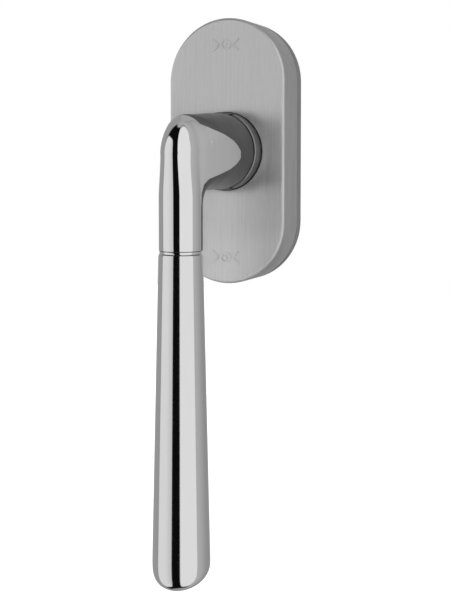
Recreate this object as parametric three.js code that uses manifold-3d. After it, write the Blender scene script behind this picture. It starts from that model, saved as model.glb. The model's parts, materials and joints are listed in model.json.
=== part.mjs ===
// Tilt-and-turn window handle: a lever grip on an oval rose, with its click mechanism inside.
// Millimetres, +Z up. The wall plane (the window frame's face) is y = 0 and the room is -Y.
// The origin is where the spindle's axis meets that plane. "Depth" is the distance in front of it.

import * as THREE from 'three';
import { mergeVertices } from 'three/addons/utils/BufferGeometryUtils.js';
import Module from 'manifold-3d';

const wasm = await Module();
wasm.setup();

// Driving dimensions ------------------------------------------------------------------------

const GAP = 0.3; // running or fitting gap left between neighbouring pieces
const OVERLAP = 1; // how far two shapes of one body run into each other
const BEYOND = 1; // how far a cutter runs past what it cuts

const ROSE_HEIGHT = 70;
const ROSE_WIDTH = 32.6;
const ROSE_DEPTH = 13; // wall to the rose's front face
const ROSE_EDGE = 1.5; // rounding of the cover's front edge
const COVER_WALL = 1;
const FLANGE_DEPTH = 2.2; // visible rim of the base plate
const RIM_GAP = 0.8; // slit that lets the cover rock
const HOUSING_DEPTH = 9.6;
const HOUSING_INSET = 2.5; // housing side inside the rose's outline

const NECK_RADIUS = 10;
const NECK_START = 17; // depth of the neck's foot
const COLLAR_RADIUS = 10.3;
const HOLE_RADIUS = COLLAR_RADIUS + GAP;
const SHANK_RADIUS = 7;
const SHANK_FLAT = 5.6; // half the width over the shank's two flats

const GRIP_DEPTH = 39.5; // grip axis from the wall
const GRIP_TOP_RADIUS = 5.4;
const GRIP_END_RADIUS = 7.2;
const ELBOW_TOP = 9.7; // elbow above the spindle axis
const ELBOW_ROUND = 8.5; // outer rounding of the elbow, side view
const ELBOW_FILLET = 3.5; // inner rounding between neck and grip
const JOINT_HEIGHT = -24.9; // middle of the ring between elbow and grip
const RING_HEIGHT = 1;
const GRIP_STRAIGHT_END = -98; // where the domed end begins
const GRIP_TIP = -107.3;
const TIP_SLOPE = 0.22; // the end dome hangs lower at the room side
const TIP_DROP = 0.55; // how far that slope lowers the tip
const TIP_FULLNESS = 0.8; // below 1 the dome is fuller than a ball

const SPINDLE_SIDE = 7;
const SPINDLE_REACH = 35; // behind the wall plane
const SCREW_SPACING = 43;
const SCREW_RADIUS = 2.5;
const SCREW_REACH = 36;
const SCREW_HEAD_RADIUS = 4.6;
const SCREW_HEAD_EDGE = 0.3; // straight edge above the countersunk cone
const BOSS_RADIUS = 5;
const BOSS_LENGTH = 5;
const SCREW_HEAD_ROOM = 0.4;
const SCREW_CHAMFER = 0.6;
const RECESS_SPAN = 4.6; // cross recess in the screw's head
const RECESS_SLOT = 1.1;
const RECESS_DEPTH = 2.2;

const PLATE_WIDTH = 24; // retaining plate
const PLATE_HEIGHT = 35.2;
const RIVET_X = 9.8;
const RIVET_Z = 13;
const RIVET_RADIUS = 1.1;
const RIVET_HEAD_RADIUS = 1.8;
const RIVET_BACK = 0.15;
const RIVET_FRONT = 5.6;
const SPIGOT_RADIUS = 8.7; // the collar's spigot in the base plate
const COLLAR_SLOT_WIDTH = 0.9;
const COLLAR_SLOT_REACH = 1.6; // inwards from the collar's side
const COLLAR_SLOT_DEPTH = 2.2; // back from the neck's foot

const ROTOR_RADIUS = 9;
const BALL_RADIUS = 1.9;
const CLICK_TRAVEL = 0.6; // ball travel from the rotor's rim into a notch
const CHANNEL_END = 17.2; // outer end of each ball channel, from the spindle's axis
const SPRING_RADIUS = 1.4;
const SPRING_WIRE = 0.22; // wire radius
const SPRING_TURNS = 4;

// Depths of the layers inside the base plate, from the back.
const PLATE_BACK = 0.9;
const PLATE_FRONT = 1.7;
const CLIP_BACK = 2.1;
const CLIP_FRONT = 2.8;
const ROTOR_BACK = CLIP_FRONT + GAP;
const ROTOR_FRONT = 6.7;
const POCKET_FRONT = 7.7;

// Materials -----------------------------------------------------------------------------------

const finish = (color, roughness, metalness) =>
  new THREE.MeshStandardMaterial({ color, roughness, metalness });

const satinChrome = finish(0xb4b4b4, 0.35, 1);
const mirrorChrome = finish(0xe0e0e2, 0.08, 1);
const polishedGrip = finish(0xd4d4d6, 0.16, 1);
const zincCasting = finish(0x8f9092, 0.5, 0.9);
const plainSteel = finish(0x9a9c9e, 0.4, 1);
const springSteel = finish(0x74777a, 0.35, 1);
const blackNylon = finish(0x1d1d1f, 0.6, 0);

// Solids --------------------------------------------------------------------------------------

// A closed three.js geometry as a manifold-3d solid.
function solid(geometry) {
  const bare = geometry.clone();
  bare.deleteAttribute('normal');
  bare.deleteAttribute('uv');
  const merged = mergeVertices(bare, 1e-4);
  return new wasm.Manifold(new wasm.Mesh({
    numProp: 3,
    vertProperties: new Float32Array(merged.attributes.position.array),
    triVerts: new Uint32Array(merged.index.array),
  }));
}

function geometryOf(manifold) {
  const mesh = manifold.getMesh();
  const geometry = new THREE.BufferGeometry();
  geometry.setAttribute('position', new THREE.BufferAttribute(mesh.vertProperties, 3));
  geometry.setIndex(new THREE.BufferAttribute(mesh.triVerts, 1));
  return geometry;
}

// A shape drawn in X and Z, extruded towards the room between two depths.
function slab(shape, back, front, curveSegments = 12) {
  const geometry = new THREE.ExtrudeGeometry(shape, { depth: front - back, bevelEnabled: false, curveSegments });
  return solid(geometry.rotateX(Math.PI / 2).translate(0, -back, 0));
}

// A profile of [radius, depth] points from back to front, turned about the spindle's axis.
function turned(profile, segments = 48) {
  const points = profile.map(([radius, depth]) => new THREE.Vector2(radius, -depth)).reverse();
  return solid(new THREE.LatheGeometry(points, segments));
}

function disc(radius, back, front, segments = 48) {
  return turned([[0, back], [radius, back], [radius, front], [0, front]], segments);
}

function ring(outer, inner, back, front, segments = 48) {
  return disc(outer, back, front, segments).subtract(disc(inner, back - BEYOND, front + BEYOND, segments));
}

// A box given by its sizes, its middle in X and Z, and its two depths.
function block(width, height, back, front, x = 0, z = 0) {
  const geometry = new THREE.BoxGeometry(width, front - back, height);
  return solid(geometry.translate(x, -(back + front) / 2, z));
}

// An upright cylinder or cone between two heights, on the axis at (x, depth).
function upright(bottomRadius, topRadius, bottom, top, x, depth, segments = 32) {
  const geometry = new THREE.CylinderGeometry(topRadius, bottomRadius, top - bottom, segments);
  return solid(geometry.rotateX(Math.PI / 2).translate(x, -depth, (bottom + top) / 2));
}

function stadium(height, width) {
  const radius = width / 2;
  const middle = height / 2 - radius;
  const shape = new THREE.Shape();
  shape.absarc(0, middle, radius, 0, Math.PI);
  shape.absarc(0, -middle, radius, Math.PI, 2 * Math.PI);
  return shape;
}

// Base ----------------------------------------------------------------------------------------

const screwHeights = [SCREW_SPACING / 2, -SCREW_SPACING / 2];
const signs = [1, -1];
const housingHeight = ROSE_HEIGHT - 2 * HOUSING_INSET;
const housingWidth = ROSE_WIDTH - 2 * HOUSING_INSET;
const rivetPlaces = signs.flatMap((sx) => signs.map((sz) => [RIVET_X * sx, RIVET_Z * sz]));

function screwHole(z) {
  const head = SCREW_HEAD_RADIUS + SCREW_HEAD_ROOM;
  const hole = SCREW_RADIUS + GAP;
  const rim = HOUSING_DEPTH - GAP - SCREW_HEAD_EDGE;
  const profile = [
    [0, -BOSS_LENGTH - BEYOND], [hole, -BOSS_LENGTH - BEYOND], [hole, rim - (head - hole)],
    [head, rim], [head, HOUSING_DEPTH + BEYOND], [0, HOUSING_DEPTH + BEYOND],
  ];
  return turned(profile, 24).translate(0, 0, z);
}

function basePlate() {
  let body = slab(stadium(ROSE_HEIGHT, ROSE_WIDTH), 0, FLANGE_DEPTH);
  body = body.add(slab(stadium(housingHeight, housingWidth), OVERLAP, HOUSING_DEPTH));
  for (const z of screwHeights) {
    body = body.add(disc(BOSS_RADIUS, -BOSS_LENGTH, OVERLAP, 24).translate(0, 0, z));
    body = body.subtract(screwHole(z));
  }
  body = body.subtract(block(PLATE_WIDTH + 2 * GAP, PLATE_HEIGHT + 2 * GAP, -BEYOND, PLATE_FRONT + GAP));
  body = body.subtract(disc(ROTOR_RADIUS + 2 * GAP, 0, POCKET_FRONT));
  body = body.subtract(block(2 * (BALL_RADIUS + GAP), 2 * CHANNEL_END, 0, ROTOR_FRONT + GAP));
  body = body.subtract(disc(SPIGOT_RADIUS + GAP, POCKET_FRONT - OVERLAP, HOUSING_DEPTH + BEYOND));
  for (const [x, z] of rivetPlaces) {
    body = body.subtract(disc(RIVET_RADIUS + GAP, 0, RIVET_FRONT + GAP, 16).translate(x, 0, z));
  }
  return body;
}

function retainingPlate() {
  let plate = block(PLATE_WIDTH, PLATE_HEIGHT, PLATE_BACK, PLATE_FRONT);
  plate = plate.subtract(disc(SHANK_RADIUS + 2 * GAP, 0, PLATE_FRONT + BEYOND));
  for (const [x, z] of rivetPlaces) {
    plate = plate.subtract(disc(RIVET_RADIUS + GAP, 0, PLATE_FRONT + BEYOND, 16).translate(x, 0, z));
  }
  return plate;
}

// A rivet with its flat head behind the retaining plate.
function rivet(x, z) {
  const headFront = PLATE_BACK - GAP;
  const profile = [
    [0, RIVET_BACK], [RIVET_HEAD_RADIUS, RIVET_BACK], [RIVET_HEAD_RADIUS, headFront],
    [RIVET_RADIUS, headFront], [RIVET_RADIUS, RIVET_FRONT], [0, RIVET_FRONT],
  ];
  return turned(profile, 16).translate(x, 0, z);
}

// A countersunk screw with a cross recess, head flush with the housing.
function fixingScrew(z) {
  const top = HOUSING_DEPTH - GAP;
  const cone = SCREW_HEAD_RADIUS - SCREW_RADIUS;
  const profile = [
    [0, -SCREW_REACH], [SCREW_RADIUS - SCREW_CHAMFER, -SCREW_REACH], [SCREW_RADIUS, -SCREW_REACH + SCREW_CHAMFER],
    [SCREW_RADIUS, top - cone - SCREW_HEAD_EDGE], [SCREW_HEAD_RADIUS, top - SCREW_HEAD_EDGE],
    [SCREW_HEAD_RADIUS, top], [0, top],
  ];
  const level = block(RECESS_SPAN, RECESS_SLOT, top - RECESS_DEPTH, top + BEYOND);
  const plumb = block(RECESS_SLOT, RECESS_SPAN, top - RECESS_DEPTH, top + BEYOND);
  return turned(profile, 24).subtract(level.add(plumb)).translate(0, 0, z);
}

// The flanged bush round the shank; its rim is the collar seen between rose and neck.
function neckCollar() {
  const foot = HOUSING_DEPTH + GAP;
  const slotAngles = [72, 108, 252, 288]; // upwards from +X
  let collar = disc(COLLAR_RADIUS, foot, NECK_START - GAP);
  collar = collar.add(disc(SPIGOT_RADIUS, POCKET_FRONT + GAP, foot + OVERLAP));
  collar = collar.subtract(disc(SHANK_RADIUS + GAP, 0, NECK_START + BEYOND));
  for (const angle of slotAngles) {
    const length = COLLAR_SLOT_REACH + BEYOND;
    const middle = COLLAR_RADIUS + BEYOND - length / 2;
    const slot = block(length, COLLAR_SLOT_WIDTH, NECK_START - COLLAR_SLOT_DEPTH, NECK_START, middle);
    collar = collar.subtract(slot.rotate([0, -angle, 0]));
  }
  return collar;
}

// Coil spring pushing a ball inwards.
class Coil extends THREE.Curve {
  constructor(radius, start, end, turns, depth, sign) {
    super();
    Object.assign(this, { radius, start, end, turns, depth, sign });
  }

  getPoint(t) {
    const angle = 2 * Math.PI * this.turns * t;
    const z = this.sign * (this.start + (this.end - this.start) * t);
    return new THREE.Vector3(this.radius * Math.cos(angle), this.radius * Math.sin(angle) - this.depth, z);
  }
}

const ballDepth = (ROTOR_BACK + ROTOR_FRONT) / 2;
const ballHeight = ROTOR_RADIUS + GAP + BALL_RADIUS;

function detentSpring(sign) {
  const start = ballHeight + BALL_RADIUS + GAP + SPRING_WIRE;
  const end = CHANNEL_END - GAP - SPRING_WIRE;
  const coil = new Coil(SPRING_RADIUS, start, end, SPRING_TURNS, ballDepth, sign);
  const wire = new THREE.Shape().absarc(0, 0, SPRING_WIRE, 0, 2 * Math.PI);
  const steps = 14 * SPRING_TURNS;
  return solid(new THREE.ExtrudeGeometry(wire, { extrudePath: coil, steps, curveSegments: 3, bevelEnabled: false }));
}

function detentBall(sign) {
  return solid(new THREE.SphereGeometry(BALL_RADIUS, 16, 10).translate(0, -ballDepth, sign * ballHeight));
}

// Cover ---------------------------------------------------------------------------------------

const MARK_HEIGHT = 28; // middle of each press mark from the spindle's axis
const MARK_RAISE = 0.25;
const MARK_ROOT = 0.3; // how far the mark runs into the cover
const MARK_STROKE = 0.55;
const MARK_RING_RADIUS = 1.5;
const MARK_DOT_RADIUS = 0.45;
const ARROW_TIP = 2;
const ARROW_TAIL = 3.5;
const ARROW_RISE = 1.7;
const ARROW_STEP = 1.3 * MARK_STROKE;

// Two arrowheads pointing at a ring: the raised press-here mark.
function pressMark() {
  const back = ROSE_DEPTH - MARK_ROOT;
  const front = ROSE_DEPTH + MARK_RAISE;
  let mark = ring(MARK_RING_RADIUS, MARK_RING_RADIUS - MARK_STROKE, back, front, 20);
  mark = mark.add(disc(MARK_DOT_RADIUS, back, front, 12));
  for (const sign of signs) {
    const arrow = new THREE.Shape();
    const tip = sign * ARROW_TIP;
    const tail = sign * ARROW_TAIL;
    const step = sign * ARROW_STEP;
    arrow.moveTo(tip, 0).lineTo(tail, ARROW_RISE).lineTo(tail + step, ARROW_RISE);
    arrow.lineTo(tip + step, 0).lineTo(tail + step, -ARROW_RISE).lineTo(tail, -ARROW_RISE);
    mark = mark.add(slab(arrow, back, front));
  }
  return mark;
}

function coverShell() {
  const face = stadium(ROSE_HEIGHT - 2 * ROSE_EDGE, ROSE_WIDTH - 2 * ROSE_EDGE);
  const outer = new THREE.ExtrudeGeometry(face, {
    depth: ROSE_DEPTH, bevelThickness: ROSE_EDGE, bevelSize: ROSE_EDGE, bevelSegments: 3, curveSegments: 14,
  });
  let shell = solid(outer.rotateX(Math.PI / 2).translate(0, ROSE_EDGE, 0));
  const behind = -2 * ROSE_EDGE - BEYOND;
  const cavity = stadium(ROSE_HEIGHT - 2 * COVER_WALL, ROSE_WIDTH - 2 * COVER_WALL);
  const around = stadium(ROSE_HEIGHT + 2 * BEYOND, ROSE_WIDTH + 2 * BEYOND);
  shell = shell.subtract(slab(cavity, behind, ROSE_DEPTH - COVER_WALL, 14));
  shell = shell.subtract(slab(around, behind, FLANGE_DEPTH + RIM_GAP));
  shell = shell.subtract(disc(HOLE_RADIUS, 0, ROSE_DEPTH + BEYOND));
  for (const sign of signs) {
    shell = shell.add(pressMark().translate(0, 0, sign * MARK_HEIGHT));
  }
  return shell;
}

const PIVOT_OUTER = HOLE_RADIUS + 1.7;
const CLIP_STRIP = 0.5; // thickness of the clips' spring steel
const CLIP_HEIGHT = 8;
const CLIP_PINCH = 7; // depth where the clip starts to flare
const CLIP_MOUTH = 4; // depth of its free edge

// The ring behind the cover's hole: it slides along the neck and the cover rocks on it.
function pivotRing() {
  return ring(PIVOT_OUTER, HOLE_RADIUS, HOUSING_DEPTH + 2 * GAP, ROSE_DEPTH - COVER_WALL - GAP);
}

// A bent strip of spring steel that grips the housing's side.
function coverClip(sign) {
  const inner = housingWidth / 2 + GAP;
  const outer = inner + CLIP_STRIP;
  const arm = PIVOT_OUTER + GAP;
  const front = -HOUSING_DEPTH - GAP - CLIP_STRIP;
  const back = front + CLIP_STRIP;
  const shape = new THREE.Shape();
  shape.moveTo(arm, front).lineTo(outer, front).lineTo(outer, -CLIP_PINCH).lineTo(outer + GAP, -CLIP_MOUTH);
  shape.lineTo(inner + GAP, -CLIP_MOUTH).lineTo(inner, -CLIP_PINCH).lineTo(inner, back).lineTo(arm, back);
  const strip = new THREE.ExtrudeGeometry(shape, { depth: CLIP_HEIGHT, bevelEnabled: false });
  const clip = solid(strip.translate(0, 0, -CLIP_HEIGHT / 2));
  return sign > 0 ? clip : clip.mirror([1, 0, 0]);
}

// Handle --------------------------------------------------------------------------------------

const TAPER_START = 25; // depth where the elbow starts to narrow
const TAPER_LEAVE = [NECK_RADIUS - 0.5, 29];
const TAPER_ARRIVE = [GRIP_TOP_RADIUS, 33];
const STUD_RADIUS = 3;
const STUD_UP = 9; // above and below the ring
const STUD_DOWN = 11;
const GRUB_RADIUS = 2;
const GRUB_DEPTH = 22;
const GRUB_HEX_RADIUS = 1.1;
const GRUB_HEX_DEPTH = 2;
const SPINDLE_FRONT = 27;
const WASHER_THICKNESS = 0.4;
const CIRCLIP_LIP = 1.2;
const CIRCLIP_OPENING = 2.4;
const RING_RADIUS = 4.95;

// Plan view of the elbow: the neck's width running in a rounded nose to the grip's width.
function elbowPlan() {
  const shape = new THREE.Shape();
  const wide = NECK_RADIUS + BEYOND;
  const back = NECK_START - BEYOND;
  const grip = GRIP_TOP_RADIUS;
  shape.moveTo(wide, back).lineTo(wide, TAPER_START);
  shape.bezierCurveTo(...TAPER_LEAVE, ...TAPER_ARRIVE, grip, GRIP_DEPTH);
  shape.absarc(0, GRIP_DEPTH, grip, 0, Math.PI);
  const [arriveX, arriveDepth] = TAPER_ARRIVE;
  const [leaveX, leaveDepth] = TAPER_LEAVE;
  shape.bezierCurveTo(-arriveX, arriveDepth, -leaveX, leaveDepth, -wide, TAPER_START);
  shape.lineTo(-wide, back);
  return shape;
}

// Side view of the elbow in depth and height: an L with its outer corner and inner corner rounded.
function elbowSide() {
  const front = GRIP_DEPTH + GRIP_TOP_RADIUS;
  const back = GRIP_DEPTH - GRIP_TOP_RADIUS;
  const bottom = JOINT_HEIGHT + RING_HEIGHT / 2 + GAP;
  const shape = new THREE.Shape();
  shape.moveTo(NECK_START, -NECK_RADIUS - BEYOND).lineTo(back - ELBOW_FILLET, -NECK_RADIUS - BEYOND);
  shape.lineTo(back - ELBOW_FILLET, -NECK_RADIUS);
  shape.absarc(back - ELBOW_FILLET, -NECK_RADIUS - ELBOW_FILLET, ELBOW_FILLET, Math.PI / 2, 0, true);
  shape.lineTo(back, bottom).lineTo(front, bottom);
  shape.absarc(front - ELBOW_ROUND, ELBOW_TOP - ELBOW_ROUND, ELBOW_ROUND, 0, Math.PI / 2);
  shape.lineTo(NECK_START, ELBOW_TOP);
  return shape;
}

// A cylindrical hole for the stud between two heights, with a fitting gap round it.
function studHole(bottom, top) {
  return upright(STUD_RADIUS + GAP, STUD_RADIUS + GAP, bottom, top, 0, GRIP_DEPTH, 20);
}

// The elbow is what the neck, grip and inner corner share with its plan and side views.
function elbow() {
  const neck = disc(NECK_RADIUS, NECK_START, GRIP_DEPTH + GRIP_TOP_RADIUS);
  const grip = upright(GRIP_TOP_RADIUS, GRIP_TOP_RADIUS, JOINT_HEIGHT, 0, 0, GRIP_DEPTH, 36);
  const cornerBack = GRIP_DEPTH - GRIP_TOP_RADIUS - ELBOW_FILLET;
  const corner = block(2 * GRIP_TOP_RADIUS, 2 * ELBOW_FILLET, cornerBack, GRIP_DEPTH, 0, -NECK_RADIUS);
  const height = 3 * NECK_RADIUS - JOINT_HEIGHT;
  const plan = new THREE.ExtrudeGeometry(elbowPlan(), { depth: height, bevelEnabled: false, curveSegments: 10 });
  const planSolid = solid(plan.translate(0, 0, JOINT_HEIGHT)).mirror([0, 1, 0]);
  const width = 3 * NECK_RADIUS;
  const side = new THREE.ExtrudeGeometry(elbowSide(), { depth: width, bevelEnabled: false, curveSegments: 8 });
  const sideSolid = solid(side.translate(0, 0, -width / 2).rotateX(Math.PI / 2).rotateZ(-Math.PI / 2));
  return neck.add(grip).add(corner).intersect(planSolid).intersect(sideSolid);
}

function neckCasting() {
  const socketSide = SPINDLE_SIDE + 2 * GAP;
  const socket = block(socketSide, socketSide, 0, SPINDLE_FRONT + BEYOND);
  const grubHole = upright(GRUB_RADIUS + GAP, GRUB_RADIUS + GAP, -NECK_RADIUS - BEYOND, 0, 0, GRUB_DEPTH, 16);
  const stud = studHole(JOINT_HEIGHT - BEYOND, JOINT_HEIGHT + STUD_UP + GAP);
  return elbow().add(shank()).subtract(socket).subtract(stud).subtract(grubHole);
}

// The shank behind the neck, with two flats for the rotor and a groove for its clip.
function shank() {
  const width = 3 * SHANK_RADIUS;
  const flatsEnd = ROTOR_FRONT + GAP;
  const tail = disc(SHANK_RADIUS, PLATE_BACK, NECK_START + OVERLAP, 36);
  const flats = block(2 * SHANK_FLAT, width, 0, flatsEnd).add(block(width, width, flatsEnd, NECK_START + BEYOND));
  const groove = ring(SHANK_RADIUS + BEYOND, SHANK_RADIUS - 2 * GAP, CLIP_BACK - GAP, CLIP_FRONT + GAP, 36);
  return tail.intersect(flats).subtract(groove);
}

function circlip() {
  const opening = block(CIRCLIP_OPENING, 2 * SHANK_RADIUS, 0, CLIP_FRONT + BEYOND, 0, SHANK_RADIUS);
  return ring(SHANK_RADIUS + CIRCLIP_LIP, SHANK_RADIUS - GAP, CLIP_BACK, CLIP_FRONT, 36).subtract(opening);
}

// Index disc with a notch every quarter turn.
function rotor() {
  let body = disc(ROTOR_RADIUS, ROTOR_BACK, ROTOR_FRONT);
  const across = block(2 * (SHANK_FLAT + GAP), 3 * SHANK_RADIUS, 0, POCKET_FRONT);
  const bore = disc(SHANK_RADIUS + GAP, 0, POCKET_FRONT, 36).intersect(across);
  body = body.subtract(bore);
  for (let quarter = 0; quarter < 4; quarter += 1) {
    const notch = disc(BALL_RADIUS + GAP, 0, POCKET_FRONT, 20).translate(0, 0, ballHeight - CLICK_TRAVEL);
    body = body.subtract(notch.rotate([0, 90 * quarter, 0]));
  }
  return body;
}

function thrustWasher() {
  const back = ROTOR_FRONT + GAP;
  return ring(ROTOR_RADIUS, SHANK_RADIUS + GAP, back, back + WASHER_THICKNESS);
}

function spindle() {
  return block(SPINDLE_SIDE, SPINDLE_SIDE, -SPINDLE_REACH, SPINDLE_FRONT);
}

function grubScrew() {
  const bottom = -NECK_RADIUS + 2 * GAP;
  const screw = upright(GRUB_RADIUS, GRUB_RADIUS, bottom, -SPINDLE_SIDE / 2 - GAP, 0, GRUB_DEPTH, 16);
  const hexTop = bottom + GRUB_HEX_DEPTH;
  return screw.subtract(upright(GRUB_HEX_RADIUS, GRUB_HEX_RADIUS, bottom - BEYOND, hexTop, 0, GRUB_DEPTH, 6));
}

function spacerRing() {
  const bottom = JOINT_HEIGHT - RING_HEIGHT / 2;
  const top = bottom + RING_HEIGHT;
  const bore = studHole(bottom - BEYOND, top + BEYOND);
  return upright(RING_RADIUS, RING_RADIUS, bottom, top, 0, GRIP_DEPTH, 36).subtract(bore);
}

function joiningStud() {
  return upright(STUD_RADIUS, STUD_RADIUS, JOINT_HEIGHT - STUD_DOWN, JOINT_HEIGHT + STUD_UP, 0, GRIP_DEPTH, 20);
}

// The grip widens evenly downwards and ends in a dome that hangs lower at the room side.
function grip() {
  const top = JOINT_HEIGHT - RING_HEIGHT / 2 - GAP;
  const domeHeight = GRIP_STRAIGHT_END - GRIP_TIP - TIP_DROP;
  const points = [new THREE.Vector2(0, top), new THREE.Vector2(GRIP_TOP_RADIUS, top)];
  const domeSteps = 8;
  for (let i = 0; i <= domeSteps; i += 1) {
    const angle = (Math.PI / 2) * (i / domeSteps);
    const radius = GRIP_END_RADIUS * Math.cos(angle) ** TIP_FULLNESS;
    points.push(new THREE.Vector2(i < domeSteps ? radius : 0, GRIP_STRAIGHT_END - domeHeight * Math.sin(angle)));
  }
  const geometry = new THREE.LatheGeometry(points.reverse(), 36).rotateX(Math.PI / 2);
  const places = geometry.attributes.position;
  for (let i = 0; i < places.count; i += 1) {
    const below = Math.min(1, Math.max(0, (GRIP_STRAIGHT_END - places.getZ(i)) / domeHeight));
    places.setZ(i, places.getZ(i) + TIP_SLOPE * below * places.getY(i));
  }
  const bore = studHole(JOINT_HEIGHT - STUD_DOWN - GAP, top + BEYOND);
  return solid(geometry.translate(0, -GRIP_DEPTH, 0)).subtract(bore);
}

// Scene ---------------------------------------------------------------------------------------

const part = new THREE.Group();
const base = new THREE.Group();
const cover = new THREE.Group();
const handle = new THREE.Group();
part.add(base, cover, handle);

function place(group, name, manifold, material) {
  const mesh = new THREE.Mesh(geometryOf(manifold), material);
  mesh.name = name;
  group.add(mesh);
}

place(base, 'base_plate', basePlate(), zincCasting);
place(base, 'retaining_plate', retainingPlate(), plainSteel);
rivetPlaces.forEach(([x, z], i) => place(base, `plate_rivet_${i + 1}`, rivet(x, z), plainSteel));
place(base, 'neck_collar', neckCollar(), zincCasting);
['upper', 'lower'].forEach((where, i) => {
  place(base, `fixing_screw_${where}`, fixingScrew(screwHeights[i]), plainSteel);
  place(base, `detent_spring_${where}`, detentSpring(signs[i]), springSteel);
  place(base, `detent_ball_${where}`, detentBall(signs[i]), plainSteel);
});

place(cover, 'cover_shell', coverShell(), satinChrome);
place(cover, 'pivot_ring', pivotRing(), blackNylon);
place(cover, 'cover_clip_right', coverClip(1), springSteel);
place(cover, 'cover_clip_left', coverClip(-1), springSteel);

place(handle, 'neck_casting', neckCasting(), mirrorChrome);
place(handle, 'spacer_ring', spacerRing(), satinChrome);
place(handle, 'grip', grip(), polishedGrip);
place(handle, 'joining_stud', joiningStud(), plainSteel);
place(handle, 'grub_screw', grubScrew(), blackNylon);
place(handle, 'spindle', spindle(), plainSteel);
place(handle, 'rotor', rotor(), plainSteel);
place(handle, 'thrust_washer', thrustWasher(), blackNylon);
place(handle, 'circlip', circlip(), springSteel);

export default part;
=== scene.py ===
import json
import math

import bmesh
import bpy
from mathutils import Euler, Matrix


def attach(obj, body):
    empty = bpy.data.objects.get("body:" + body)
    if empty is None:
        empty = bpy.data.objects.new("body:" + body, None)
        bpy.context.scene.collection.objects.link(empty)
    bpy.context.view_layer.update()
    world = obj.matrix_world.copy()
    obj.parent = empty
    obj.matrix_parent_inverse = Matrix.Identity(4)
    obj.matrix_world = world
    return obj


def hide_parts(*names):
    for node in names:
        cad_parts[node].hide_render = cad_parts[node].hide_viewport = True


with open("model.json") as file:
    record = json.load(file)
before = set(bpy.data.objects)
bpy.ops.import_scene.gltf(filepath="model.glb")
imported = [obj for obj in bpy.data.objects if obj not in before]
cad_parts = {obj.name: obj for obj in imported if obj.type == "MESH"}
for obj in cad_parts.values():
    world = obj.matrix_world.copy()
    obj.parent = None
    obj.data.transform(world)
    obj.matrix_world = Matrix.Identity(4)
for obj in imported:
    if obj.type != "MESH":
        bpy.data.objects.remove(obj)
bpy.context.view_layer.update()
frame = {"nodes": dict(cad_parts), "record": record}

# Tilt-and-turn window handle. Sizes are in millimetres until a mesh is made; (x, depth, z) has its depth
# measured from the window's face towards the room, so that the frame's y is minus the depth.

MM = 0.001

ROSE_HALF_WIDTH = 16.5
ROSE_ARC_HEIGHT = 18.5  # centre of each round end above or below the spindle's axis
ROSE_FRONT = 13.0
ROSE_EDGE = 0.9
COVER_BACK = 3.0
COVER_WALL = 1.0
HOLE_RADIUS = 10.4
FLANGE_FRONT = 2.2
HOUSING_FRONT = 9.6
HOUSING_INSET = 2.5
SCREW_HEIGHT = 21.5  # above and below the spindle's axis
SCREW_REACH = 36.0
BOSS_RADIUS = 5.0
BOSS_END = -5.0
RIVET_ACROSS = 9.8
RIVET_HEIGHT = 13.0
MARK_HEIGHT = 28.0

NECK_RADIUS = 9.9
NECK_FOOT = 17.2
COLLAR_RADIUS = 10.15
COLLAR_BORE = 7.3
COLLAR_BACK = 8.0
COLLAR_SHOULDER = 9.9  # depth where the collar widens
COLLAR_FOOT_RADIUS = 8.7
SHANK_RADIUS = 7.0
SHANK_BACK = 0.9
SHANK_FLAT = 5.6  # the flats' distance from the axis
SOCKET_HALF = 3.8
SOCKET_FRONT = 28.0
SPINDLE_HALF = 3.5

GRIP_DEPTH = 39.5
GRIP_RADIUS = 5.28
ELBOW_TOP = 9.8
ELBOW_FILLET = 3.5
CASTING_END = -24.1
GRIP_TOP = -25.0
GRIP_TIP = -104.75
STUD_BORE = 3.3
STUD_BORE_TOP = -15.6


# Shaders ---------------------------------------------------------------------------------------------


class Value:
    """A socket that can be used in a sum; each operator adds its Math node."""

    def __init__(self, nodes, socket):
        self.nodes = nodes
        self.socket = socket

    def math(self, operation, *others):
        return self.nodes.math(operation, self, *others)

    def __add__(self, other):
        return self.math("ADD", other)

    def __sub__(self, other):
        return self.math("SUBTRACT", other)

    def __rsub__(self, other):
        return self.nodes.math("SUBTRACT", other, self)

    def __mul__(self, other):
        return self.math("MULTIPLY", other)

    __rmul__ = __mul__

    def __truediv__(self, other):
        return self.math("DIVIDE", other)

    def __pow__(self, other):
        return self.math("POWER", other)

    def __neg__(self):
        return self.math("MULTIPLY", -1.0)


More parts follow.
